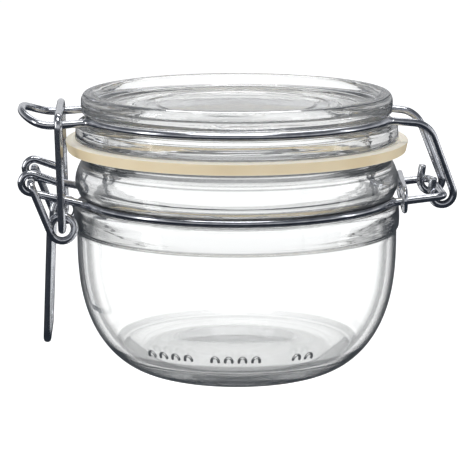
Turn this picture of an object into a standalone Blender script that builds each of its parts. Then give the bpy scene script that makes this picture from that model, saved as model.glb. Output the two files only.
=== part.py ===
"""Round glass terrine jar with a glass lid, a rubber gasket and a wire bail closure.

Metres, +Z up. The origin is the centre of the base, the hinge is at +X and the latch at -X.
"""

import math

import bmesh
import bpy
from mathutils import Matrix, Vector

# Driving sizes
GAP = 0.0003
LATHE_SIDES = 44
WIRE_RADIUS = 0.0011
TIE_WIRE_RADIUS = 0.00075
BEND_STEPS = 5

# Jar
FOOT_RADIUS = 0.0252
FOOT_INNER_RADIUS = 0.0224
PUSH_UP = 0.0012
BODY_RADIUS = 0.0446
BODY_TOP = 0.0382
WALL = 0.0024
FLOOR = 0.0052
FLOOR_RADIUS = 0.0220
CURVE_UP = 2.7
CURVE_OUT = 1.69
LOWER_BEAD_RADIUS = 0.04545
LOWER_BEAD_FOOT = 0.0399
LOWER_BEAD_TOP = 0.0467
UPPER_BEAD_RADIUS = 0.0441
UPPER_BEAD_TOP = 0.0580
RIM_RADIUS = 0.0429
RIM_TOP = 0.06135
MOUTH_RADIUS = 0.0395
MOUTH_FOOT = 0.0520

# Grooves that the two wires lie in
GROOVE_RADIUS = WIRE_RADIUS + 0.00035
NECK_WIRE_RING = 0.0436
NECK_WIRE_Z = 0.04845
LID_WIRE_RING = 0.0429
LID_WIRE_Z = 0.07105

# Gasket
GASKET_BOTTOM = RIM_TOP + GAP
GASKET_SEAT = 0.0645
GASKET_TOP = 0.0649
GASKET_RADIUS = 0.0475
GASKET_TAPER = 0.0011
GASKET_HOLE_RADIUS = 0.0400

# Lid
SKIRT_BOTTOM = GASKET_SEAT + GAP
SKIRT_RADIUS = 0.0449
SKIRT_TOP = 0.0692
FLANGE_RADIUS = 0.0431
FLANGE_Z = 0.0745
CREST_RADIUS = 0.0413
CREST_TOP = 0.0779
RECESS_RADIUS = 0.0381
RECESS_EDGE_Z = 0.0757
RECESS_FLOOR = 0.0736
DISC_RADIUS = 0.0283
DISC_TOP = 0.0742
PLUG_RADIUS = GASKET_HOLE_RADIUS - GAP
PLUG_BOTTOM = 0.0620
PLUG_BORE = 0.0368
LID_CEILING = 0.0699

# Hinge: the lid's two hooks turn on the neck wire's crossbar
HINGE_X = 0.0561
HINGE_Z = 0.0502
HINGE_ARM_Y = 0.01475
HOOK_RADIUS = 0.0031
HOOK_Y = 0.0107
HOOK_TAIL = 0.0042
LID_ARM_Y = 0.0144
LID_BEND_X = 0.0518
LID_BEND_Y = 0.0126
LID_BEND_Z = 0.0699

# Tie ring round the neck wire's two arms
TIE_X = 0.0464
TIE_Z = 0.0491
TIE_HALF_HEIGHT = 0.00295
TIE_TURN = 4.5

# Catch loop of the lid's wire
CATCH_X = -0.0592
CATCH_DIP_X = -0.0507
CATCH_DIP_Z = 0.07035
CATCH_CORNER = 0.0070
CATCH_RISE = 58.5

# Lever, in the eyes of the neck wire
PIVOT_X = -0.0567
PIVOT_Z = 0.0544
EYE_RADIUS = 0.0026
EYE_Y = 0.0125
EYE_TAIL = 0.0070
NECK_ARM_Y = 0.0140
LEVER_Y = 0.0153
PIN_END_Y = 0.0109
COIL_X = -0.0483
COIL_Z = 0.0421
COIL_RADIUS = 0.0033
COIL_PITCH = 2 * WIRE_RADIUS + 0.00035
HANDLE_X = -0.0530
HANDLE_Z = 0.0104

# Bail, from the lever's coils up over the catch loop
BAIL_Y = LEVER_Y + 2 * WIRE_RADIUS + 0.0004
BAIL_X = -0.0490
BAIL_Z = CATCH_DIP_Z + 2 * WIRE_RADIUS + GAP
BAIL_PIN_END_Y = 0.0110


def clear_scene():
    for thing in list(bpy.data.objects):
        bpy.data.objects.remove(thing)


def material(name, colour, roughness, metallic=0.0, transmission=0.0):
    made = bpy.data.materials.new(name)
    made.use_nodes = True
    shader = made.node_tree.nodes["Principled BSDF"]
    shader.inputs["Base Color"].default_value = (*colour, 1.0)
    shader.inputs["Roughness"].default_value = roughness
    shader.inputs["Metallic"].default_value = metallic
    shader.inputs["Transmission Weight"].default_value = transmission
    shader.inputs["IOR"].default_value = 1.5
    return made


def arc_points(centre, radius, start, end, steps):
    """Points (across, up) on a circle, from one angle in degrees to another."""
    points = []
    for i in range(steps + 1):
        angle = math.radians(start + (end - start) * i / steps)
        points.append((centre[0] + radius * math.cos(angle), centre[1] + radius * math.sin(angle)))
    return points


def bowl_points(foot_radius, foot_z, top_radius, top_z, steps):
    """The bowl's wall, a quarter of a superellipse from its foot up to its widest ring."""
    points = []
    for i in range(1, steps + 1):
        angle = math.radians(90 * i / steps)
        out = math.sin(angle) ** (2 / CURVE_OUT)
        up = 1 - max(math.cos(angle), 0.0) ** (2 / CURVE_UP)
        points.append((foot_radius + (top_radius - foot_radius) * out, foot_z + (top_z - foot_z) * up))
    return points


def jar_profile():
    """(radius, z) from the middle of the underside, up the outside, over the rim and down the inside."""
    underside = [
        (0.0, PUSH_UP),
        (FOOT_INNER_RADIUS - 0.0016, PUSH_UP * 0.85),
        (FOOT_INNER_RADIUS, 0.0),
        (FOOT_RADIUS, 0.0),
    ]
    lower_bead = [
        (BODY_RADIUS, LOWER_BEAD_FOOT),
        (LOWER_BEAD_RADIUS - 0.0003, LOWER_BEAD_FOOT + 0.0008),
        (LOWER_BEAD_RADIUS, (LOWER_BEAD_FOOT + LOWER_BEAD_TOP) / 2),
        (LOWER_BEAD_RADIUS - 0.0005, LOWER_BEAD_TOP),
    ]
    groove = arc_points((NECK_WIRE_RING, NECK_WIRE_Z), GROOVE_RADIUS, -60, -285, 5)
    upper_bead = [
        (UPPER_BEAD_RADIUS, 0.0508),
        (UPPER_BEAD_RADIUS, 0.0562),
        (RIM_RADIUS + 0.0006, UPPER_BEAD_TOP),
    ]
    rim = [
        (RIM_RADIUS, UPPER_BEAD_TOP + 0.0003),
        (RIM_RADIUS - 0.0001, RIM_TOP - 0.0008),
        (RIM_RADIUS - 0.0007, RIM_TOP),
        (MOUTH_RADIUS + 0.0008, RIM_TOP),
        (MOUTH_RADIUS, RIM_TOP - 0.0009),
        (MOUTH_RADIUS, MOUTH_FOOT),
        (BODY_RADIUS - WALL - 0.0012, 0.0440),
    ]
    inner_wall = bowl_points(FLOOR_RADIUS, FLOOR, BODY_RADIUS - WALL, BODY_TOP, 7)[::-1]
    floor = [(FLOOR_RADIUS, FLOOR), (0.0, FLOOR + 0.0005)]
    outer_wall = bowl_points(FOOT_RADIUS, 0.0, BODY_RADIUS, BODY_TOP, 9)
    return underside + outer_wall + lower_bead + groove + upper_bead + rim + inner_wall + floor


def lid_profile():
    """(radius, z) from the middle of the underside, over the plug, skirt, groove and crest to the disc."""
    underside = [
        (0.0, LID_CEILING),
        (PLUG_BORE - 0.0030, LID_CEILING),
        (PLUG_BORE - 0.0008, LID_CEILING - 0.0012),
        (PLUG_BORE, LID_CEILING - 0.0040),
        (PLUG_BORE + 0.0004, PLUG_BOTTOM + 0.0004),
        (PLUG_BORE + 0.0010, PLUG_BOTTOM),
        (PLUG_RADIUS - 0.0006, PLUG_BOTTOM),
        (PLUG_RADIUS, PLUG_BOTTOM + 0.0006),
        (PLUG_RADIUS, SKIRT_BOTTOM),
    ]
    skirt = [
        (SKIRT_RADIUS - 0.0005, SKIRT_BOTTOM),
        (SKIRT_RADIUS, SKIRT_BOTTOM + 0.0006),
        (SKIRT_RADIUS - 0.0003, SKIRT_TOP - 0.0008),
        (SKIRT_RADIUS - 0.0010, SKIRT_TOP + 0.0003),
    ]
    groove = arc_points((LID_WIRE_RING, LID_WIRE_Z), GROOVE_RADIUS, -85, -275, 5)
    crest = [
        (FLANGE_RADIUS, LID_WIRE_Z + GROOVE_RADIUS + 0.0006),
        (FLANGE_RADIUS, FLANGE_Z),
        (FLANGE_RADIUS - 0.0004, CREST_TOP - 0.0014),
        (CREST_RADIUS, CREST_TOP),
        (CREST_RADIUS - 0.0012, CREST_TOP - 0.0004),
        (RECESS_RADIUS, RECESS_EDGE_Z),
        (RECESS_RADIUS - 0.0016, RECESS_FLOOR + 0.0003),
        (RECESS_RADIUS - 0.0032, RECESS_FLOOR),
    ]
    disc = [
        (DISC_RADIUS + 0.0006, RECESS_FLOOR),
        (DISC_RADIUS, DISC_TOP),
        (0.0, DISC_TOP),
    ]
    return underside + skirt + groove + crest + disc


def gasket_profile():
    """(radius, z) round the gasket's section, a flat ring whose free edge is thicker and leans in below."""
    return [
        (GASKET_HOLE_RADIUS, GASKET_BOTTOM),
        (GASKET_RADIUS - GASKET_TAPER - 0.0004, GASKET_BOTTOM),
        (GASKET_RADIUS - GASKET_TAPER, GASKET_BOTTOM + 0.0003),
        (GASKET_RADIUS, GASKET_TOP - 0.0005),
        (GASKET_RADIUS - 0.0005, GASKET_TOP),
        (SKIRT_RADIUS + 0.0010, GASKET_TOP),
        (SKIRT_RADIUS + GAP, GASKET_SEAT),
        (GASKET_HOLE_RADIUS, GASKET_SEAT),
    ]


def turned(name, profile, closed_section=False):
    """A solid of revolution about Z: the profile is spun once round and its ends are welded."""
    mesh = bpy.data.meshes.new(name)
    shape = bmesh.new()
    corners = [shape.verts.new((radius, 0.0, z)) for radius, z in profile]
    edges = [shape.edges.new(pair) for pair in zip(corners, corners[1:])]
    if closed_section:
        edges.append(shape.edges.new((corners[-1], corners[0])))
    bmesh.ops.spin(
        shape,
        geom=corners + edges,
        cent=(0.0, 0.0, 0.0),
        axis=(0.0, 0.0, 1.0),
        angle=2 * math.pi,
        steps=LATHE_SIDES,
        use_merge=False,
    )
    bmesh.ops.remove_doubles(shape, verts=shape.verts, dist=1e-6)
    bmesh.ops.recalc_face_normals(shape, faces=shape.faces)
    shape.to_mesh(mesh)
    shape.free()
    mesh.shade_smooth()
    mesh.set_sharp_from_angle(angle=math.radians(40))
    return bpy.data.objects.new(name, mesh)


def cut_back(run, reach):
    """A run of points, shorter by this length at its end."""
    run = list(run)
    while (run[-1] - run[-2]).length <= reach:
        reach -= (run[-1] - run[-2]).length
        run.pop()
    run[-1] = run[-1] + (run[-2] - run[-1]).normalized() * reach
    return run


def bent(first, second, reach):
    """Two runs of wire joined by a bend, a cubic curve that starts this far before their corner."""
    first = cut_back(first, reach)
    second = cut_back(second[::-1], reach)[::-1]
    start, end = first[-1], second[0]
    handle = 0.6 * reach
    leaves = start + (first[-1] - first[-2]).normalized() * handle
    arrives = end - (second[1] - second[0]).normalized() * handle
    bend = []
    for i in range(1, BEND_STEPS):
        t = i / BEND_STEPS
        s = 1 - t
        bend.append(start * s**3 + leaves * (3 * s * s * t) + arrives * (3 * s * t * t) + end * t**3)
    return first + bend + second


def joined(runs):
    """Runs that meet end to end made one, without the points that they share."""
    path = list(runs[0])
    for run in runs[1:]:
        path += run[1:] if (run[0] - path[-1]).length < 1e-6 else run
    return path


def mirrored(half):
    """A path from its end at +Y to the middle, carried on to its mirror image at -Y."""
    other = [Vector((point.x, -point.y, point.z)) for point in reversed(half)]
    return half + other[1:]


def level_arc(radius, z, start, end, steps):
    """A level arc round the jar's axis, between two angles in degrees from +X."""
    return [Vector((x, y, z)) for x, y in arc_points((0.0, 0.0), radius, start, end, steps)]


def upright_arc(centre, radius, start, end, steps, y_start, y_end):
    """An arc in an XZ plane, which may also shift along Y as a coil does."""
    points = arc_points(centre, radius, start, end, steps)
    return [Vector((x, y_start + (y_end - y_start) * i / steps, z)) for i, (x, z) in enumerate(points)]


def wire(name, path, radius=WIRE_RADIUS, cyclic=False):
    """A round wire along a path."""
    data = bpy.data.curves.new(name, "CURVE")
    data.dimensions = "3D"
    data.bevel_depth = radius
    data.bevel_resolution = 2
    data.use_fill_caps = True
    spline = data.splines.new("POLY")
    spline.points.add(len(path) - 1)
    for point, place in zip(spline.points, path):
        point.co = (*place, 1.0)
    spline.use_cyclic_u = cyclic
    return bpy.data.objects.new(name, data)


def neck_wire_path():
    """Cut end, eye, arm, half of the neck groove, hinge arm and half of the crossbar, then the mirror image."""
    leave_eye = 258
    top_of_eye = 70
    eye = upright_arc((PIVOT_X, PIVOT_Z), EYE_RADIUS, top_of_eye, leave_eye, 9, EYE_Y, EYE_Y)
    slope = math.radians(top_of_eye)
    tail_start = eye[0] + Vector((math.sin(slope), 0.0, -math.cos(slope))) * EYE_TAIL
    latch_angle = 180 - math.degrees(math.asin(NECK_ARM_Y / NECK_WIRE_RING))
    hinge_angle = math.degrees(math.asin(HINGE_ARM_Y / NECK_WIRE_RING))
    ring = level_arc(NECK_WIRE_RING, NECK_WIRE_Z, latch_angle, hinge_angle, 22)
    arm = joined([[tail_start, eye[0]], eye, [eye[-1], ring[0]]])
    corner = Vector((HINGE_X, HINGE_ARM_Y, HINGE_Z))
    half = bent(arm, ring, 0.0024)
    half = bent(half, [ring[-1], corner], 0.0024)
    half = bent(half, [corner, Vector((HINGE_X, 0.0, HINGE_Z))], 0.0024)
    return mirrored(half)


def lid_wire_path():
    """Hook, slanting leg, arm, half of the lid's groove and half of the catch loop, then the mirror image."""
    rise = math.atan2(LID_BEND_Z - HINGE_Z, LID_BEND_X - HINGE_X - HOOK_RADIUS)
    leave_hook = math.degrees(rise) - 90
    hook = upright_arc((HINGE_X, HINGE_Z), HOOK_RADIUS, 172, 360 + leave_hook, 8, HOOK_Y, HOOK_Y)
    tail_start = hook[0] + Vector((math.sin(math.radians(8)), 0.0, math.cos(math.radians(8)))) * HOOK_TAIL
    bend = Vector((LID_BEND_X, LID_BEND_Y, LID_BEND_Z))
    lid_angle = math.degrees(math.asin(LID_ARM_Y / LID_WIRE_RING))
    ring = level_arc(LID_WIRE_RING, LID_WIRE_Z, lid_angle, 180 - lid_angle, 22)
    leg = joined([[tail_start, hook[0]], hook, [hook[-1], bend]])
    half = bent(leg, [bend, ring[0]], 0.0042)
    half = bent(half, ring, 0.0024)
    half = bent(half, [ring[-1], Vector((CATCH_DIP_X, LID_ARM_Y, CATCH_DIP_Z))], 0.0024)
    return mirrored(half + catch_corner())


def catch_corner():
    """The catch loop's corner, level in plan and turned up by a parabola past the dip, to its middle."""
    centre = (CATCH_X + CATCH_CORNER, LID_ARM_Y - CATCH_CORNER)
    plan = arc_points(centre, CATCH_CORNER, 90, 180, 8) + [(CATCH_X, 0.0)]
    return [Vector((x, y, CATCH_DIP_Z + CATCH_RISE * (CATCH_DIP_X - x) ** 2)) for x, y in plan]


def lever_path():
    """Pivot end, slanting leg, one turn of coil and half of the handle, then the mirror image."""
    away = math.hypot(COIL_X - PIVOT_X, COIL_Z - PIVOT_Z)
    downward = math.atan2(PIVOT_Z - COIL_Z, PIVOT_X - COIL_X)
    meet = math.degrees(downward + math.acos(COIL_RADIUS / away))
    lean = math.degrees(math.atan2(COIL_X - COIL_RADIUS - HANDLE_X, COIL_Z - HANDLE_Z))
    coil = upright_arc(
        (COIL_X, COIL_Z), COIL_RADIUS, meet, 540 - lean, 16, LEVER_Y, LEVER_Y - COIL_PITCH
    )
    handle_y = LEVER_Y - COIL_PITCH
    corner = Vector((HANDLE_X, handle_y, HANDLE_Z))
    pivot = Vector((PIVOT_X, LEVER_Y, PIVOT_Z))
    pin = [Vector((PIVOT_X, PIN_END_Y, PIVOT_Z)), pivot]
    half = bent(pin, joined([[pivot, coil[0]], coil, [coil[-1], corner]]), 0.0016)
    return mirrored(bent(half, [corner, Vector((HANDLE_X, 0.0, HANDLE_Z))], 0.0030))


def bail_path():
    """Pin through the coil, leg and half of the crossbar, then the mirror image."""
    foot = Vector((COIL_X, BAIL_Y, COIL_Z))
    corner = Vector((BAIL_X, BAIL_Y, BAIL_Z))
    pin = [Vector((COIL_X, BAIL_PIN_END_Y, COIL_Z)), foot]
    half = bent(pin, [foot, corner], 0.0018)
    return mirrored(bent(half, [corner, Vector((BAIL_X, 0.0, BAIL_Z))], 0.0026))


def tie_ring_path():
    """A flat oval, upright and turned a little, with its round ends about the neck wire's two arms."""
    ends = HINGE_ARM_Y - 0.0004
    right = arc_points((ends, TIE_Z), TIE_HALF_HEIGHT, -90, 90, 7)
    left = arc_points((-ends, TIE_Z), TIE_HALF_HEIGHT, 90, 270, 7)
    slant = math.tan(math.radians(TIE_TURN))
    return [Vector((TIE_X + y * slant, y, z)) for y, z in right + left]


def axis_empty(name, place, parent=None):
    """An empty on a joint's axis. The pieces that turn are its children."""
    empty = bpy.data.objects.new(name, None)
    empty.empty_display_size = 0.01
    bpy.context.scene.collection.objects.link(empty)
    offset = Vector(place)
    if parent:
        empty.parent = parent
        offset -= parent.matrix_world.translation
    empty.location = offset
    bpy.context.view_layer.update()
    return empty


def place(piece, finish, parent):
    """The piece's shape is measured from its parent's point, so that it turns about it."""
    piece.data.materials.append(finish)
    piece.data.transform(Matrix.Translation(-parent.matrix_world.translation))
    piece.parent = parent
    bpy.context.scene.collection.objects.link(piece)


def main():
    clear_scene()
    glass = material("clear_glass", (0.93, 0.95, 0.94), 0.02, transmission=1.0)
    rubber = material("cream_rubber", (0.76, 0.64, 0.42), 0.55)
    steel = material("bright_steel_wire", (0.78, 0.79, 0.81), 0.16, metallic=1.0)

    jar = axis_empty("jar_body", (0.0, 0.0, 0.0))
    lid = axis_empty("lid_hinge", (HINGE_X, 0.0, HINGE_Z), jar)
    lever = axis_empty("lever_pivot", (PIVOT_X, 0.0, PIVOT_Z), jar)
    bail = axis_empty("bail_pivot", (COIL_X, 0.0, COIL_Z), lever)

    place(turned("jar_glass", jar_profile()), glass, jar)
    place(wire("neck_wire", neck_wire_path()), steel, jar)
    place(wire("tie_ring", tie_ring_path(), TIE_WIRE_RADIUS, cyclic=True), steel, jar)
    place(turned("lid_glass", lid_profile()), glass, lid)
    place(turned("gasket", gasket_profile(), closed_section=True), rubber, lid)
    place(wire("lid_wire", lid_wire_path()), steel, lid)
    place(wire("lever", lever_path()), steel, lever)
    place(wire("bail", bail_path()), steel, bail)


main()
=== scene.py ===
# Terrine jar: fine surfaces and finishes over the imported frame, seen at the photo's angle
import math

import bpy
import numpy as np
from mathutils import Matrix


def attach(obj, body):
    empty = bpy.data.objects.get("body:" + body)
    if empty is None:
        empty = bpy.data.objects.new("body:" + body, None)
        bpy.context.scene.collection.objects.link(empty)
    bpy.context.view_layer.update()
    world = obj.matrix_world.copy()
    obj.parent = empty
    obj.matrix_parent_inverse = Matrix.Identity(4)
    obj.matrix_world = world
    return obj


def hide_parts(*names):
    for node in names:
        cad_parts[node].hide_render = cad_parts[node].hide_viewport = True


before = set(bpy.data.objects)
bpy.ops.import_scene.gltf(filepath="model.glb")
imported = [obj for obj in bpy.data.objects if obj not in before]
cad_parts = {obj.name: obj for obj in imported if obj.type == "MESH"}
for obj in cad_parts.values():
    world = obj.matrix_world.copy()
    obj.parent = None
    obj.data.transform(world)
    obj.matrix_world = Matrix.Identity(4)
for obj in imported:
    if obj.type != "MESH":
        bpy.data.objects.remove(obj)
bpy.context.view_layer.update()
print("stage: frame loaded, pieces", sorted(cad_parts))


# Shader maths: each operator on a socket adds the Math node that works it out
class Value:
    def __init__(self, finish, socket):
        self.finish = finish
        self.socket = socket

    def calc(self, operation, first, second=0.0):
        return self.finish.node("Math", {"operation": operation}, {0: first, 1: second})

    def __add__(self, other):
        return self.calc("ADD", self, other)

    def __sub__(self, other):
        return self.calc("SUBTRACT", self, other)

    def __rsub__(self, other):
        return self.calc("SUBTRACT", other, self)

    def __mul__(self, other):
        return self.calc("MULTIPLY", self, other)

    def ramp(self, low, high):  # 0 below low, 1 above high, smooth between
        return self.finish.node(
            "MapRange", {"interpolation_type": "SMOOTHSTEP"}, {"Value": self, "From Min": low, "From Max": high}
        )


class Finish:
    def __init__(self, name, tree=None):
        if tree is None:
            self.material = bpy.data.materials.new(name)
            self.material.use_nodes = True
            tree = self.material.node_tree
        self.tree = tree
        tree.nodes.clear()

    def node(self, kind, settings=None, values=None, out=0):
        made = self.tree.nodes.new("ShaderNode" + kind)
        for key, setting in (settings or {}).items():
            setattr(made, key, setting)
        for key, given in (values or {}).items():
            if isinstance(given, Value):
                self.tree.links.new(given.socket, made.inputs[key])
            else:
                made.inputs[key].default_value = given
        return Value(self, made.outputs[out])

    def mix(self, share, first, second):  # one colour turning into another
        return self.node("Mix", {"data_type": "RGBA"}, {0: share, 6: first, 7: second}, out=2)

    def size(self, value):  # without its sign
        return self.node("Math", {"operation": "ABSOLUTE"}, {0: value})

    def place(self):
        return self.node("TexCoord", out="Object")

    def noise(self, scale, detail=3.0, rough=0.5, stretch=(1.0, 1.0, 1.0)):
        spot = self.node("Mapping", None, {"Vector": self.place(), "Scale": stretch})
        return self.node("TexNoise", None, {"Vector": spot, "Scale": scale, "Detail": detail, "Roughness": rough})

    def bump(self, height, strength, distance):
        return self.node("Bump", None, {"Height": height, "Strength": strength, "Distance": distance})

    def done(self, shader):
        end = self.tree.nodes.new("ShaderNodeOutputMaterial")
        self.tree.links.new(shader.socket, end.inputs["Surface"])
        return self.material


glassLook = {
    "clear": (0.985, 0.99, 0.987, 1.0),
    # edge: the painted shade colour that the glass takes as it turns edge on
    "edge": (0.045, 0.05, 0.055, 1.0),
    "edgeStart": 0.63,
    "edgeEnd": 0.85,
    "edgeShare": 0.93,
    "flatShare": 0.24,
    "flatLean": (0.97, 0.998),
    "flatRadius": (0.033, 0.035),
    "heelRadius": (0.0354, 0.0360),
    "thickFrom": (0.0385, 0.0410),
    "thickShare": 0.06,
    "bands": (
        (0.0485, 0.0019, 0.50, 0.75),
        (0.0609, 0.0007, 0.78, 0.88),
        (0.0593, 0.0004, 0.55, 0.70),
        (0.0573, 0.0003, 0.40, 0.60),
    ),
    "heel": ((0.0070, 0.0010, 0.45, 0.0), (0.0078, 0.0014, 0.0, 0.50)),
    "sideFrom": (0.010, 0.038),
    "paintedStreakShade": 0.60,
    "paintedStreakFrom": (0.52, 0.82),
    "paintedStreakFacing": (0.10, 0.60),
    "sideLines": 0.55,
    "lineFrom": (0.48, 0.66),
    "lineFacing": (0.35, 0.75),
    "index": 1.5,
}
lidLook = {
    **glassLook,
    "edgeStart": 0.84,
    "edgeEnd": 0.98,
    "edgeShare": 0.54,
    "flatShare": 0.13,
    "thickShare": 0.02,
    "bands": (
        (0.0709, 0.0014, 0.45, 0.92),
        (0.0773, 0.0007, 0.05, 0.28),
        (0.0649, 0.0005, 0.55, 0.60),
    ),
    "heel": (),
    "sideFrom": (0.033, 0.040),
    "paintedStreakShade": 0.18,
    "sideLines": 0.10,
}
# Foot marks' glass: its painted shade starts almost face on, so the small arches show as dark lines
markLook = {**glassLook, "edgeStart": 0.0, "edgeEnd": 0.25, "bands": (), "heel": ()}


def band(f, height, at, half):  # 1 at this height and 0 from half the band's width on
    return 1.0 - f.size(height - at).ramp(half * 0.4, half)


def glassFinish(name, look):
    # Pressed glass: clear when faced. Painted shade makes it dark grey edge on and greyer through its flat faces, and
    # puts soft level streaks (bumped as well) and dark patches in the thick parts above the body. Faint rings from the
    # mould in its flat faces.
    # Each band (height, half width, share near the middle, share at the sides) is a shade line, in a groove or
    # round the lip. Each heel band (height, half width, share on the inside, share on the outside) is one too
    f = Finish(name)
    spot = f.place()
    height = f.node("SeparateXYZ", None, {"Vector": spot}, out="Z")
    sides = f.size(f.node("SeparateXYZ", None, {"Vector": spot}, out="X")).ramp(*look["sideFrom"])
    level = f.node("VectorMath", {"operation": "MULTIPLY"}, {0: spot, 1: (1.0, 1.0, 0.0)})
    fromAxis = f.node("VectorMath", {"operation": "LENGTH"}, {0: level}, out="Value")
    lean = f.node("SeparateXYZ", None, {"Vector": f.node("TexCoord", out="Normal")}, out="Z")
    facing = f.node("LayerWeight", None, {"Blend": 0.5}, out="Facing")
    thick = height.ramp(*look["thickFrom"])
    flat = f.size(lean).ramp(*look["flatLean"]) * (1.0 - fromAxis.ramp(*look["flatRadius"]))
    waves = f.noise(60.0, 1.0, stretch=(1.0, 1.0, 1.6))
    broad = f.noise(1.0, 1.0, stretch=(15.0, 15.0, 240.0))
    fine = f.noise(1.0, 2.0, 0.5, stretch=(20.0, 20.0, 800.0))
    outward = f.node("CombineXYZ", None, {"X": fromAxis})
    rings = f.node("TexNoise", None, {"Vector": outward, "Scale": 700.0, "Detail": 2.0})
    normal = f.bump(waves * 0.12 + (broad + fine * 0.18) * thick + rings * flat * 0.10, 0.5, 0.0004)
    values = {"Base Color": look["clear"], "Roughness": 0.01, "IOR": look["index"], "Transmission Weight": 1.0}
    clear = f.node("BsdfPrincipled", None, {**values, "Normal": normal})
    # Painted shade: an opaque dark grey, mixed in as the glass turns edge on, stands in for the dark surroundings seen
    # at its edges
    dark = f.node("BsdfPrincipled", None, {"Base Color": look["edge"], "Roughness": 0.3, "Normal": normal})
    edge = facing.ramp(look["edgeStart"], look["edgeEnd"]) * look["edgeShare"]
    # Painted shade: dark patches and fine level lines in the thick glass, stronger towards its edges, and a grey share
    # over all of it
    paintedStreakShade = (broad + fine * 0.3).ramp(*look["paintedStreakFrom"]) * facing.ramp(*look["paintedStreakFacing"]) * look["paintedStreakShade"]
    lines = fine.ramp(*look["lineFrom"]) * facing.ramp(*look["lineFacing"]) * look["sideLines"]
    share = edge + (paintedStreakShade + lines + (broad + 0.4) * look["thickShare"]) * thick
    for at, half, front, side in look["bands"]:
        share = share + band(f, height, at, half) * (sides * (side - front) + front)
    outside = fromAxis.ramp(*look["heelRadius"])
    for at, half, within, around in look["heel"]:
        line = band(f, height, at, half)
        share = share + line * (1.0 - outside) * (facing.ramp(0.2, 0.6) * 0.6 + 0.4) * within
        share = share + line * outside * facing.ramp(0.15, 0.30) * around
    # Painted shade: the flat faces get a grey share of their own, with the mould's faint rings and soft patches in it
    share = share * (1.0 - flat)
    share = share + flat * look["flatShare"] * (rings * 0.9 + broad * 0.6 + 0.25)
    return f.done(f.node("MixShader", None, {0: share, 1: clear, 2: dark}))


steelLook = {"light": (0.60, 0.61, 0.64, 1.0), "dark": (0.42, 0.43, 0.47, 1.0)}


def steelFinish(name, look):
    # Drawn wire: a bright metal with slight dull patches and fine scratches
    f = Finish(name)
    patches = f.noise(260.0, 4.0, 0.6)
    scratches = f.noise(900.0, 2.0, 0.7, stretch=(0.15, 0.15, 1.0))
    colour = f.mix(patches.ramp(0.35, 0.7), look["light"], look["dark"])
    normal = f.bump(scratches, 0.12, 0.0001)
    shader = f.node(
        "BsdfPrincipled",
        None,
        {"Base Color": colour, "Metallic": 1.0, "Roughness": patches * 0.14 + 0.10, "Normal": normal},
    )
    return f.done(shader)


# top: painted light, the paler colour given to the rubber's flat faces
rubberLook = {"pale": (0.74, 0.63, 0.43, 1.0), "deep": (0.68, 0.56, 0.36, 1.0), "top": (0.86, 0.81, 0.69, 1.0)}


def rubberFinish(name, look):
    # Natural rubber: matt, faintly mottled, and paler on its flat top and bottom faces as painted light
    f = Finish(name)
    mottle = f.noise(70.0, 2.0, 0.5)
    lean = f.node("SeparateXYZ", None, {"Vector": f.node("TexCoord", out="Normal")}, out="Z")
    side = f.mix(mottle.ramp(0.3, 0.75), look["pale"], look["deep"])
    # Painted light: faces turned up or down get the paler top colour
    colour = f.mix(f.size(lean).ramp(0.55, 0.85), side, look["top"])
    grain = f.bump(f.noise(1400.0, 2.0), 0.15, 0.0001)
    shader = f.node(
        "BsdfPrincipled",
        None,
        {
            "Base Color": colour,
            "Roughness": 0.5,
            "Subsurface Weight": 0.15,
            "Subsurface Radius": (0.002, 0.0015, 0.0008),
            "Subsurface Scale": 1.0,
            "Normal": grain,
        },
    )
    return f.done(shader)


bowlGlass = glassFinish("bowlGlass", glassLook)
lidGlass = glassFinish("lidGlass", lidLook)
markGlass = glassFinish("markGlass", markLook)
brightWire = steelFinish("brightWire", steelLook)
creamRubber = rubberFinish("creamRubber", rubberLook)
print("stage: finishes made")


# Sizes below are in millimetres, as on a maker's drawing, and become metres when a mesh is made
def addPiece(name, points, faces, finish, body, replaced):
    mesh = bpy.data.meshes.new(name)
    mesh.from_pydata((points * 0.001).tolist(), [], faces)
    mesh.polygons.foreach_set("use_smooth", np.ones(len(mesh.polygons), bool))
    mesh.materials.append(finish)
    mesh.update()
    piece = bpy.data.objects.new(name, mesh)
    bpy.context.scene.collection.objects.link(piece)
    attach(piece, body)
    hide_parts(replaced)
    return piece


def spread(line, least):
    # The line without the points that are no further than this from the one before
    gaps = np.linalg.norm(np.diff(line, axis=0), axis=1)
    return line[np.r_[True, gaps > least]]


def rounded(corners, steps=7, closed=False):
    # Each corner C, with a reach, becomes (1-t)^2 A + 2t(1-t) C + t^2 B, where A and B lie that far along its two sides
    table = np.array(corners, float)
    spot, reach = table[:, :2], table[:, 2:]
    back = np.roll(spot, 1, axis=0) - spot
    ahead = np.roll(spot, -1, axis=0) - spot
    if not closed:
        back[0] = 0.0
        ahead[-1] = 0.0
    start = spot + back / np.maximum(np.linalg.norm(back, axis=1, keepdims=True), 1e-9) * reach
    end = spot + ahead / np.maximum(np.linalg.norm(ahead, axis=1, keepdims=True), 1e-9) * reach
    t = np.linspace(0.0, 1.0, steps)[None, :, None]
    line = (1 - t) ** 2 * start[:, None] + 2 * t * (1 - t) * spot[:, None] + t**2 * end[:, None]
    return spread(line.reshape(-1, 2), 1e-4)


def circlePart(centre, radius, start, end, steps):
    # Points centre + radius * (cos a, sin a), with a from start to end in degrees
    a = np.radians(np.linspace(start, end, steps))
    return np.stack([centre[0] + radius * np.cos(a), centre[1] + radius * np.sin(a)], axis=1)


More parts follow.
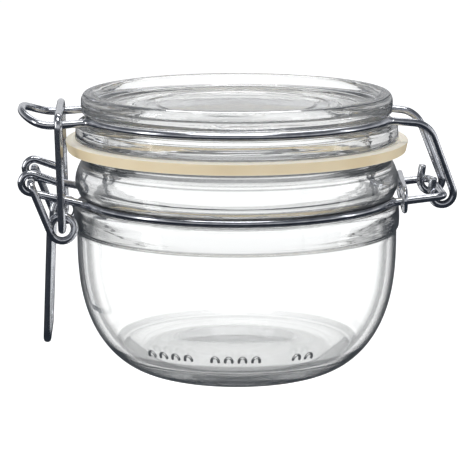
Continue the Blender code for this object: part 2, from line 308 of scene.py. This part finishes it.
def skinned(rings, poles=None):
    # Quads from each ring of points to the next. With two poles, a fan of triangles closes each end, and without
    # them the last ring joins the first
    rows, sides = rings.shape[:2]
    column = np.arange(sides)
    nextColumn = np.roll(column, -1)
    row = np.arange(rows if poles is None else rows - 1)[:, None]
    nextRow = (row + 1) % rows
    quads = np.stack(
        [row * sides + column, row * sides + nextColumn, nextRow * sides + nextColumn, nextRow * sides + column], axis=2
    )
    points = rings.reshape(-1, 3)
    faces = quads.reshape(-1, 4).tolist()
    if poles is not None:
        last = (rows - 1) * sides
        points = np.vstack([points, *poles])
        faces += np.stack([np.full(sides, rows * sides), nextColumn, column], axis=1).tolist()
        faces += np.stack([last + column, last + nextColumn, np.full(sides, rows * sides + 1)], axis=1).tolist()
    return points, faces


def turned(line, sides, closed=False):
    # A profile (r, z) turned about Z: x = r cos a, y = r sin a. The two ends of an open profile are on the axis
    a = np.linspace(0.0, 2 * math.pi, sides, endpoint=False)
    r, z = line[:, :1], np.repeat(line[:, 1:], sides, axis=1)
    rings = np.stack([r * np.cos(a), r * np.sin(a), z], axis=2)
    if closed:
        return skinned(rings)
    return skinned(rings[1:-1], (rings[0, :1], rings[-1, :1]))


# The jar: a rounded bowl under two beads, with the neck wire's groove between them
jarSizes = {
    "foot": 25.2,
    "pushUp": 1.2,
    "body": 44.6,
    "bodyTop": 38.2,
    "floor": 6.1,
    "floorBend": 1.3,
    "wall": 2.4,
    "curveOut": 1.69,
    "curveUp": 2.7,
    "ring": (43.6, 48.45),
    "groove": 1.45,
    "sides": 360,
}


def bowlLine(footRadius, footZ, topRadius, topZ, m, n, steps):
    # A quarter superellipse: out = sin(a)^(2/m), up = 1 - cos(a)^(2/n)
    a = np.linspace(0.0, math.pi / 2, steps)[1:]
    out = np.sin(a) ** (2 / m)
    up = 1 - np.maximum(np.cos(a), 0.0) ** (2 / n)
    return np.stack([footRadius + (topRadius - footRadius) * out, footZ + (topZ - footZ) * up], axis=1)


def underside(foot, pushUp, steps):
    # A shallow arch up to the ring that the jar stands on: z = pushUp (1 + cos(pi r / foot)) / 2
    r = np.linspace(0.0, foot, steps)
    return np.stack([r, pushUp * (1 + np.cos(math.pi * r / foot)) / 2], axis=1)


def outsideLine(s):
    return bowlLine(s["foot"], 0.0, s["body"], s["bodyTop"], s["curveOut"], s["curveUp"], 64)


def insideLine(s):
    # The outside moved inwards by the wall, along its normals, down to a flat floor with a rounded corner
    outside = outsideLine(s)
    along = np.gradient(outside, axis=0)
    along = along / np.linalg.norm(along, axis=1, keepdims=True)
    moved = outside + s["wall"] * np.stack([-along[:, 1], along[:, 0]], axis=1)
    corner = np.interp(s["floor"], moved[:, 1], moved[:, 0])
    wall = moved[moved[:, 1] > s["floor"] + s["floorBend"]]
    floor = rounded([(0, s["floor"], 0), (corner, s["floor"], s["floorBend"]), (*wall[0], 0)])
    return np.vstack([floor, wall[1:]])


def jarLine(s):
    innerTop = s["body"] - s["wall"]
    return np.vstack(
        [
            underside(s["foot"], s["pushUp"], 24),
            outsideLine(s),
            rounded(
                [
                    (s["body"], s["bodyTop"] + 0.4, 0.2),
                    (s["body"], 39.9, 0.5),
                    (45.25, 40.6, 0.5),
                    (45.42, 43.4, 1.8),
                    (45.1, 46.55, 0.7),
                    (44.2, 47.0, 0.1),
                ]
            ),
            circlePart(s["ring"], s["groove"], -68, -285, 20),
            rounded(
                [
                    (43.9, 49.95, 0.1),
                    (45.1, 52.2, 1.6),
                    (44.7, 55.6, 1.8),
                    (43.5, 58.1, 0.4),
                    (42.9, 58.3, 0.25),
                    (42.8, 61.3, 0.8),
                    (39.5, 61.3, 0.9),
                    (39.5, 52.3, 3.0),
                    (innerTop - 1.1, 44.5, 3.0),
                    (innerTop, 40.0, 1.2),
                ]
            ),
            insideLine(s)[::-1],
        ]
    )


points, faces = turned(spread(jarLine(jarSizes), 1e-3), jarSizes["sides"])
jarBowl = addPiece("jarBowl", points, faces, bowlGlass, "jar", "jar_glass")
jarBowl.visible_shadow = False  # clear glass lets the light through

# The lid: plug and skirt below, the lid wire's groove, then a raised rim round a recess and a low disc
lidSizes = {"ceiling": 69.9, "ring": (42.9, 71.05), "groove": 1.45, "sides": 288}


def lidLine(s):
    return np.vstack(
        [
            rounded(
                [
                    (0, s["ceiling"], 0),
                    (35.6, s["ceiling"], 2.0),
                    (36.9, 66.0, 1.5),
                    (37.4, 62.05, 0.5),
                    (39.65, 62.05, 0.6),
                    (39.65, 64.85, 0.25),
                    (44.85, 64.85, 0.6),
                    (44.55, 69.1, 0.8),
                    (43.6, 69.7, 0.15),
                ]
            ),
            circlePart(s["ring"], s["groove"], -75, -272, 20),
            rounded(
                [
                    (43.0, 72.55, 0.1),
                    (43.1, 73.4, 0.35),
                    (43.1, 76.6, 1.3),
                    (41.6, 77.9, 1.1),
                    (39.9, 77.3, 0.9),
                    (37.7, 75.0, 1.2),
                    (35.6, 73.7, 1.4),
                    (29.1, 73.6, 0.5),
                    (28.2, 74.2, 0.4),
                    (25.9, 74.2, 0.3),
                    (25.3, 73.9, 0.3),
                    (22.2, 73.9, 0.3),
                    (21.6, 74.2, 0.3),
                    (0, 74.2, 0),
                ]
            ),
        ]
    )


points, faces = turned(spread(lidLine(lidSizes), 1e-3), lidSizes["sides"])
lidDome = addPiece("lidDome", points, faces, lidGlass, "lid", "lid_glass")
lidDome.visible_shadow = False

# The gasket: a flat ring with a thicker, slanting edge
gasketSizes = {
    "hole": 40.0,
    "low": 61.65,
    "seat": 64.5,
    "high": 64.9,
    "edge": 47.5,
    "taper": 0.6,
    "slope": 0.30,
    "step": (45.6, 45.2),
    "sides": 288,
}


def gasketLine(s):
    return rounded(
        [
            (s["hole"], s["low"], 0.3),
            (s["edge"] - s["taper"], s["low"], 0.35),
            (s["edge"], s["high"] - s["slope"], 0.3),
            (s["step"][0], s["high"], 0.3),
            (s["step"][1], s["seat"], 0.3),
            (s["hole"], s["seat"], 0.3),
        ],
        closed=True,
    )


points, faces = turned(gasketLine(gasketSizes), gasketSizes["sides"], closed=True)
addPiece("gasketRing", points, faces, creamRubber, "lid", "gasket")
print("stage: glass and gasket made")


# Wires
def run(*places):
    return np.array(places, float)


def levelArc(radius, z, start, end, steps=96):
    flat = circlePart((0.0, 0.0), radius, start, end, steps)
    return np.column_stack([flat, np.full(len(flat), z)])


def uprightArc(centre, radius, start, end, yStart, yEnd, steps=40):
    # An arc in an XZ plane, shifting evenly along Y
    flat = circlePart(centre, radius, start, end, steps)
    return np.column_stack([flat[:, 0], np.linspace(yStart, yEnd, steps), flat[:, 1]])


def cutBack(path, reach):
    # The path without this length of its end
    gaps = np.linalg.norm(np.diff(path, axis=0), axis=1)
    left = np.r_[np.cumsum(gaps[::-1])[::-1], 0.0]
    last = int((left > reach).sum()) - 1
    share = (left[last] - reach) / gaps[last]
    return np.vstack([path[: last + 1], path[last] + (path[last + 1] - path[last]) * share])


def bent(first, second, reach, steps=14):
    # Two runs joined by the cubic s^3 A + 3 s^2 t P + 3 s t^2 Q + t^3 B, with s = 1 - t and handles 0.6 reach long
    first = cutBack(first, reach)
    second = cutBack(second[::-1], reach)[::-1]
    leave = first[-1] - first[-2]
    arrive = second[1] - second[0]
    p = first[-1] + leave / np.linalg.norm(leave) * 0.6 * reach
    q = second[0] - arrive / np.linalg.norm(arrive) * 0.6 * reach
    t = np.linspace(0.0, 1.0, steps)[1:-1, None]
    s = 1 - t
    bend = first[-1] * s**3 + p * (3 * s * s * t) + q * (3 * s * t * t) + second[0] * t**3
    return np.vstack([first, bend, second])


def joined(*runs):
    return spread(np.vstack(runs), 1e-4)


def mirrored(half):
    return np.vstack([half, half[-2::-1] * [1.0, -1.0, 1.0]])


def evened(path, step, closed=False):
    # The same path with points at even steps no longer than this
    line = np.vstack([path, path[:1]]) if closed else path
    far = np.r_[0.0, np.cumsum(np.linalg.norm(np.diff(line, axis=0), axis=1))]
    count = int(math.ceil(far[-1] / step)) + 1
    even = np.linspace(0.0, far[-1], count)
    made = np.stack([np.interp(even, far, line[:, k]) for k in range(3)], axis=1)
    return made[:-1] if closed else made


def carried(path, radius, sides=16, closed=False):
    # A round section carried along a path: point = path + radius (cos a side + sin a up), the side turned without twist
    if closed:
        along = np.roll(path, -1, axis=0) - np.roll(path, 1, axis=0)
    else:
        along = np.gradient(path, axis=0)
    along = along / np.linalg.norm(along, axis=1, keepdims=True)
    start = np.cross(along[0], along[len(along) // 3]) if closed else np.cross(along[0], [0.3, 0.9, 0.2])
    side = [start / np.linalg.norm(start)]
    for heading in along[1:]:
        turnedSide = side[-1] - heading * (side[-1] @ heading)
        side.append(turnedSide / np.linalg.norm(turnedSide))
    side = np.array(side)
    up = np.cross(along, side)
    size = np.full(len(path), radius)
    if not closed:  # a small chamfer at each cut end
        chamfer = 0.18 * radius
        head, tail = path[:1], path[-1:]
        path = np.vstack([head, head + along[:1] * chamfer, path[1:-1], tail - along[-1:] * chamfer, tail])
        side = np.vstack([side[:1], side, side[-1:]])
        up = np.vstack([up[:1], up, up[-1:]])
        size = np.r_[radius - chamfer, size, radius - chamfer]
    a = np.linspace(0.0, 2 * math.pi, sides, endpoint=False)[None, :, None]
    rings = path[:, None] + size[:, None, None] * (np.cos(a) * side[:, None] + np.sin(a) * up[:, None])
    return skinned(rings) if closed else skinned(rings, (path[:1], path[-1:]))


wireSizes = {"radius": 1.075, "tieRadius": 0.74, "step": 0.7}


def addWire(name, path, body, replaced, radius=wireSizes["radius"], closed=False):
    points, faces = carried(evened(path, wireSizes["step"], closed), radius, closed=closed)
    return addPiece(name, points, faces, brightWire, body, replaced)


neckSizes = {
    "ring": 43.6,
    "z": 48.45,
    "armY": 14.0,
    "hingeY": 14.75,
    "hinge": (56.1, 50.2),
    "eye": (-56.7, 54.4),
    "eyeRadius": 2.6,
    "eyeY": 12.5,
    "tail": 7.0,
}


def neckPath(s):
    # Cut end, eye, arm, half of the groove, hinge arm and half of the crossbar, then its mirror image
    eye = uprightArc(s["eye"], s["eyeRadius"], 70, 258, s["eyeY"], s["eyeY"])
    slope = math.radians(70)
    tail = eye[0] + np.array([math.sin(slope), 0.0, -math.cos(slope)]) * s["tail"]
    left = 180 - math.degrees(math.asin(s["armY"] / s["ring"]))
    right = math.degrees(math.asin(s["hingeY"] / s["ring"]))
    ring = levelArc(s["ring"], s["z"], left, right)
    x, z = s["hinge"]
    corner = run((x, s["hingeY"], z))
    half = bent(joined(tail[None], eye, ring[:1]), ring, 2.4)
    half = bent(half, joined(ring[-1:], corner), 2.4)
    return mirrored(bent(half, joined(corner, run((x, 0.0, z))), 2.4))


addWire("neckWire", neckPath(neckSizes), "jar", "neck_wire")

lidWireSizes = {
    "ring": 42.9,
    "z": 71.05,
    "armY": 14.4,
    "hinge": (56.1, 50.2),
    "hookRadius": 3.1,
    "hookY": 10.7,
    "tail": 4.2,
    "bend": (51.8, 12.6, 69.9),
    "dip": (-50.7, 70.35),
    "catchX": -59.3,
    "corner": (7.4, 12.2),
    "rise": 0.040,
}


def lidWirePath(s):
    # Cut end, hook, slanting leg, arm, half of the groove and half of the catch loop, then its mirror image
    x, z = s["hinge"]
    lean = math.atan2(s["bend"][2] - z, s["bend"][0] - x - s["hookRadius"])
    hook = uprightArc(s["hinge"], s["hookRadius"], 172, 270 + math.degrees(lean), s["hookY"], s["hookY"])
    up = np.array([math.sin(math.radians(8)), 0.0, math.cos(math.radians(8))])
    bend = run(s["bend"])
    turn = math.degrees(math.asin(s["armY"] / s["ring"]))
    ring = levelArc(s["ring"], s["z"], turn, 180 - turn)
    half = bent(joined((hook[0] + up * s["tail"])[None], hook, bend), joined(bend, ring[:1]), 4.2)
    half = bent(half, ring, 2.4)
    half = bent(half, joined(ring[-1:], run((s["dip"][0], s["armY"], s["dip"][1]))), 2.4)
    long, wide = s["corner"]  # each corner of the loop is a quarter of an ellipse
    plan = circlePart((0.0, 0.0), 1.0, 90, 180, 30) * [long, wide] + [s["catchX"] + long, s["armY"] - wide]
    plan = np.vstack([plan, [(s["catchX"], 0.0)]])
    rise = s["dip"][1] + s["rise"] * (s["dip"][0] - plan[:, 0]) ** 2  # a parabola past the dip
    return mirrored(joined(half, np.column_stack([plan, rise])))


addWire("lidWire", lidWirePath(lidWireSizes), "lid", "lid_wire")

leverSizes = {
    "pivot": (-56.7, 54.4),
    "pinY": 10.9,
    "y": 15.3,
    "coil": (-48.3, 42.1),
    "coilRadius": 3.3,
    "pitch": 2.55,
    "handle": (-53.0, 10.4),
}


def leverPath(s):
    # Pivot end, slanting leg, one turn of coil and half of the handle, then its mirror image
    px, pz = s["pivot"]
    cx, cz = s["coil"]
    hx, hz = s["handle"]
    away = math.hypot(cx - px, cz - pz)
    meet = math.degrees(math.atan2(pz - cz, px - cx) + math.acos(s["coilRadius"] / away))
    lean = math.degrees(math.atan2(cx - s["coilRadius"] - hx, cz - hz))
    y = s["y"] - s["pitch"]
    coil = uprightArc(s["coil"], s["coilRadius"], meet, 540 - lean, s["y"], y, steps=90)
    pivot = run((px, s["y"], pz))
    corner = run((hx, y, hz))
    half = bent(joined(run((px, s["pinY"], pz)), pivot), joined(pivot, coil, corner), 1.6)
    return mirrored(bent(half, joined(corner, run((hx, 0.0, hz))), 3.0))


addWire("leverWire", leverPath(leverSizes), "lever", "lever")

bailSizes = {"foot": (-48.3, 42.1), "top": (-49.0, 72.85), "y": 17.9, "pinY": 11.0}


def bailPath(s):
    # Pin through the coil, leg and half of the crossbar, then its mirror image
    fx, fz = s["foot"]
    tx, tz = s["top"]
    foot = run((fx, s["y"], fz))
    corner = run((tx, s["y"], tz))
    half = bent(joined(run((fx, s["pinY"], fz)), foot), joined(foot, corner), 1.8)
    return mirrored(bent(half, joined(corner, run((tx, 0.0, tz))), 2.6))


addWire("bailWire", bailPath(bailSizes), "bail", "bail")

markSizes = {
    "groups": ((-29.7, 4), (-3.1, 4), (23.8, 2)),
    "pitch": 5.3,
    "front": -90.4,
    "z": 10.5,
    "wide": 0.95,
    "high": 1.25,
    "radius": 0.40,
}


def footMarks(m, s):
    # Small raised arches round the foot, in groups: along = wide cos t, up = high sin t, on the bowl's outside r(z)
    outside = outsideLine(s)
    t = np.radians(np.linspace(-15, 195, 16))
    z = m["z"] + m["high"] * np.sin(t)
    r = np.interp(z, outside[:, 1], outside[:, 0])
    middles = []  # in degrees, each group spaced evenly about its own middle
    for middle, count in m["groups"]:
        middles += [m["front"] + middle + (k - (count - 1) / 2) * m["pitch"] for k in range(count)]
    points, faces = [], []
    for mark, middle in enumerate(middles):
        a = math.radians(middle) + m["wide"] * np.cos(t) / r
        made, quads = carried(np.stack([r * np.cos(a), r * np.sin(a), z], axis=1), m["radius"], sides=8)
        faces += [[k + len(made) * mark for k in face] for face in quads]
        points.append(made)
    return np.vstack(points), faces


points, faces = footMarks(markSizes, jarSizes)
marks = addPiece("footMarks", points, faces, markGlass, "jar", "jar_glass")
marks.visible_shadow = False

tieSizes = {"x": 46.4, "z": 49.1, "half": 2.95, "endY": 14.35, "turn": 4.5}


def tiePath(s):
    # A flat oval, upright and turned a little about Z
    right = circlePart((s["endY"], s["z"]), s["half"], -90, 90, 24)
    left = circlePart((-s["endY"], s["z"]), s["half"], 90, 270, 24)
    flat = np.vstack([right, left])
    return np.column_stack([s["x"] + flat[:, 0] * math.tan(math.radians(s["turn"])), flat])


addWire("tieRing", tiePath(tieSizes), "jar", "tie_ring", wireSizes["tieRadius"], closed=True)
print("stage: wires made")

# The studio: a pale floor that glows a little, a pale surround, and soft lights. What the wires and the
# glass reflect is darker than what shows through the glass, as with dark flags round a light table
studio = {
    "floor": (0.35, 0.35, 0.35, 1.0),
    "glow": (0.90, 0.90, 0.90, 1.0),
    "seen": (0.97, 0.97, 0.97, 1.0),
    "below": (0.035, 0.042, 0.055, 1.0),
    "level": (0.72, 0.73, 0.75, 1.0),
    "above": (0.16, 0.17, 0.19, 1.0),
}


def addFloor(look):
    mesh = bpy.data.meshes.new("floor")
    corners = np.array([(-8, -8, 0), (8, -8, 0), (8, 8, 0), (-8, 8, 0)], float)
    mesh.from_pydata(corners.tolist(), [], [(0, 1, 2, 3)])
    floor = bpy.data.objects.new("floor", mesh)
    f = Finish("paleFloor")
    values = {"Base Color": look["floor"], "Roughness": 0.9, "Emission Color": look["glow"], "Emission Strength": 1.0}
    mesh.materials.append(f.done(f.node("BsdfPrincipled", None, values)))
    bpy.context.scene.collection.objects.link(floor)
    floor.location.z = -0.0002  # just under the foot, so that the two don't touch
    floor.visible_glossy = False


def addSurround(look):
    # By the height z of the direction: below to level to above for reflections, and pale for what shows through glass
    world = bpy.data.worlds.new("surround")
    world.use_nodes = True
    bpy.context.scene.world = world
    f = Finish("surround", world.node_tree)
    height = f.node("SeparateXYZ", None, {"Vector": f.node("TexCoord", out="Generated")}, out="Z")
    low = f.mix(height.ramp(-0.08, 0.02), look["below"], look["level"])
    colour = f.mix(height.ramp(0.16, 0.5), low, look["above"])
    through = f.node("LightPath", out="Is Transmission Ray") + f.node("LightPath", out="Is Camera Ray")
    colour = f.mix(through, colour, look["seen"])
    shader = f.node("Background", None, {"Color": colour, "Strength": 1.0})
    end = world.node_tree.nodes.new("ShaderNodeOutputWorld")
    world.node_tree.links.new(shader.socket, end.inputs["Surface"])


def addLight(name, at, to, size, radiance):
    # An area light whose power is its radiance * pi * its area
    light = bpy.data.lights.new(name, "AREA")
    light.shape = "RECTANGLE"
    light.size, light.size_y = size
    light.energy = radiance * math.pi * size[0] * size[1]
    lamp = bpy.data.objects.new(name, light)
    bpy.context.scene.collection.objects.link(lamp)
    lamp.location = at
    lamp.rotation_euler = aimed(np.array(to, float) - np.array(at, float))


def aimed(direction):
    # Turns -Z along a direction, keeping Z up
    x, y, z = direction / np.linalg.norm(direction)
    return (math.acos(-z), 0.0, math.atan2(y, x) - math.pi / 2)


addFloor(studio)
addSurround(studio)
addLight("overhead", (-0.05, -0.22, 0.85), (0.0, 0.0, 0.04), (0.55, 0.35), 5.5)
addLight("rearBox", (0.1, 0.6, 0.75), (0.0, 0.0, 0.04), (0.6, 0.3), 3.0)
addLight("leftBox", (-0.8, -0.3, 0.3), (0.0, 0.0, 0.04), (0.22, 0.5), 4.0)
addLight("rightBox", (0.85, -0.1, 0.3), (0.0, 0.0, 0.04), (0.12, 0.5), 3.0)

# The photo's camera: 0.6 m away, 11 degrees up, turned 3 degrees towards the latch
view = {"target": (-0.0005, 0.0, 0.037), "away": 0.6, "up": 11.15, "turn": 3.0, "lens": 163.93}


def addCamera(v):
    camera = bpy.data.cameras.new("camera")
    camera.lens = v["lens"]
    camera.sensor_width = 36.0
    camera.clip_start = 0.01
    up, turn = math.radians(v["up"]), math.radians(v["turn"])
    ahead = np.array([math.sin(turn) * math.cos(up), math.cos(turn) * math.cos(up), -math.sin(up)])
    holder = bpy.data.objects.new("camera", camera)
    bpy.context.scene.collection.objects.link(holder)
    holder.location = np.array(v["target"]) - ahead * v["away"]
    holder.rotation_euler = aimed(ahead)
    bpy.context.scene.camera = holder


addCamera(view)
bounces = {"glossy": 16, "transmission": 24, "all": 32}  # light turns many times inside thick glass
cycles = bpy.context.scene.cycles
cycles.glossy_bounces = bounces["glossy"]
cycles.transmission_bounces = bounces["transmission"]
cycles.max_bounces = bounces["all"]
bpy.context.scene.view_settings.view_transform = "Standard"
print("stage: studio and camera placed")
